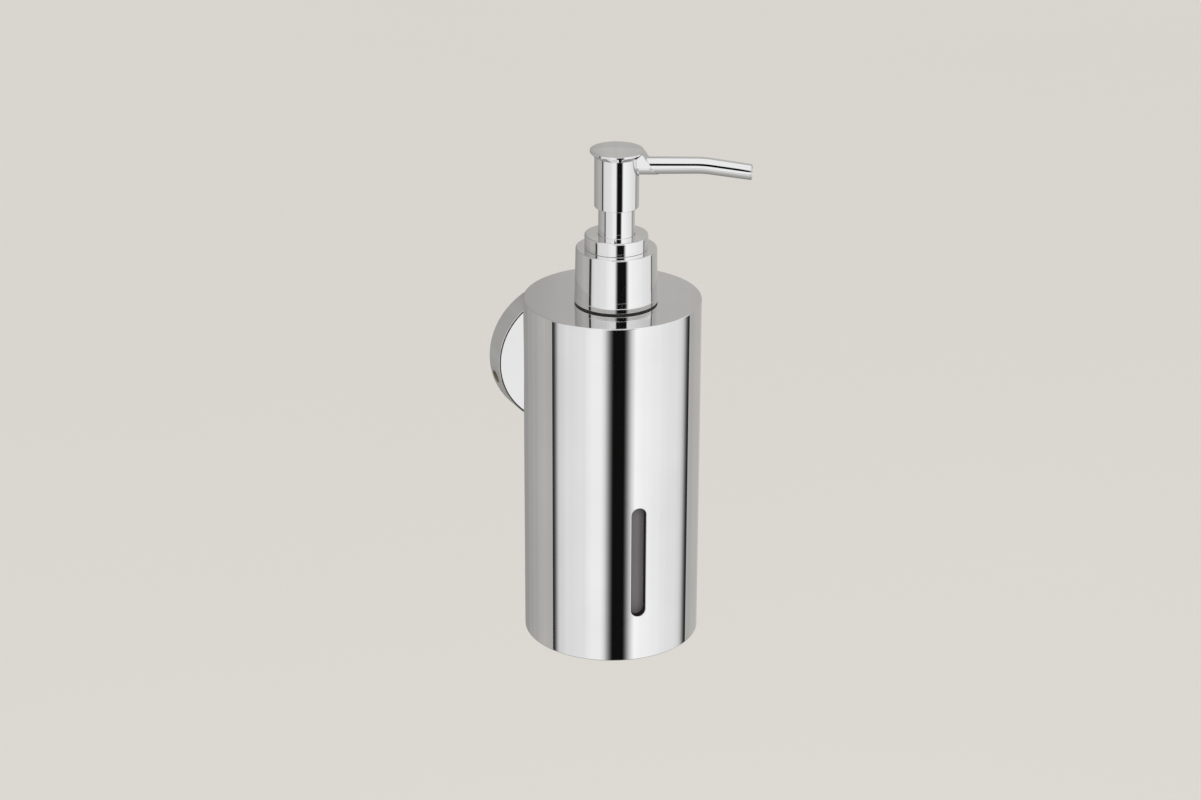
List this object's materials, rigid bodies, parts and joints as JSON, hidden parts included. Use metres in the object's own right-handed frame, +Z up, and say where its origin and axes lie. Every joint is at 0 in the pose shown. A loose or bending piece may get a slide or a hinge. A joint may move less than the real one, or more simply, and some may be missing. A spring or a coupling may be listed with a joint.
{
  "type": "wall-mounted liquid soap dispenser",
  "caption": "Round chromed soap dispenser on a wall rosette, with a lift-out bottle behind a sight slot and a spring press pump with a swivelling bent spout.",
  "frame": {"origin": "on the wall, at the centre of the wall plate's back face and on the axis of the rosette and post", "axes": "+X to the right seen from the front, +Y into the wall, +Z up along the pump's axis"},
  "size_m": [0.0835, 0.105, 0.2043],
  "materials": {
    "chrome": "mirror polished chrome plate",
    "steel": "plain stainless steel",
    "zinc": "die-cast zinc, as cast",
    "brass": "plain turned brass",
    "grey_plastic": "blow-moulded grey plastic, satin",
    "black_rubber": "smooth black rubber",
    "white_plastic": "moulded polypropylene, satin",
    "dark_plastic": "moulded plastic, fine texture"
  },
  "bodies": {
    "wall_unit": {"wall_plate": "zinc", "rosette": "chrome", "grub_screw": "brass", "mount_post": "chrome", "rosette_screw": "steel", "body_screw": "steel", "saddle_washer": "steel", "body_shell": "chrome", "base_cover": "dark_plastic", "soap_bottle": "grey_plastic", "neck_washer": "black_rubber"},
    "pump_unit": {"neck_gasket": "black_rubber", "guide_ring": "chrome", "pump_cylinder": "white_plastic", "return_spring": "steel", "ball_cage": "white_plastic", "dip_tube": "white_plastic"},
    "closure": {"collar_cover": "chrome", "screw_cap": "white_plastic"},
    "plunger": {"piston": "white_plastic"},
    "head": {"pump_stem": "white_plastic", "stem_sleeve": "chrome", "head_core": "white_plastic", "pump_head": "chrome", "spout_tube": "chrome"},
    "inlet_valve": {"inlet_ball": "steel"},
    "outlet_valve": {"outlet_ball": "steel"}
  },
  "joints": [
    {"name": "pump_lift", "type": "slide", "parent": "wall_unit", "child": "pump_unit", "axis": [0, 0, 1], "range_m": [0, 0.00635]},
    {"name": "closure_turn", "type": "hinge", "parent": "pump_unit", "child": "closure", "pos_m": [0, -0.0745, 0.06], "axis": [0, 0, 1], "range_deg": [0, 540]},
    {"name": "head_press", "type": "slide", "parent": "pump_unit", "child": "plunger", "axis": [0, 0, -1], "range_m": [0, 0.011], "stiffness_N_per_m": 870, "springref_m": -0.008, "deforming": ["return_spring"]},
    {"name": "head_swivel", "type": "hinge", "parent": "plunger", "child": "head", "pos_m": [0, -0.0745, 0.09], "axis": [0, 0, 1], "continuous": true},
    {"name": "inlet_ball_lift", "type": "slide", "parent": "pump_unit", "child": "inlet_valve", "axis": [0, 0, 1], "range_m": [0, 0.0015]},
    {"name": "outlet_ball_lift", "type": "slide", "parent": "head", "child": "outlet_valve", "axis": [0, 0, 1], "range_m": [0, 0.0012]}
  ],
  "couplings": [
    {"joint": "closure_turn", "follows": "pump_lift", "rad_per_m": 1484.2}
  ]
}
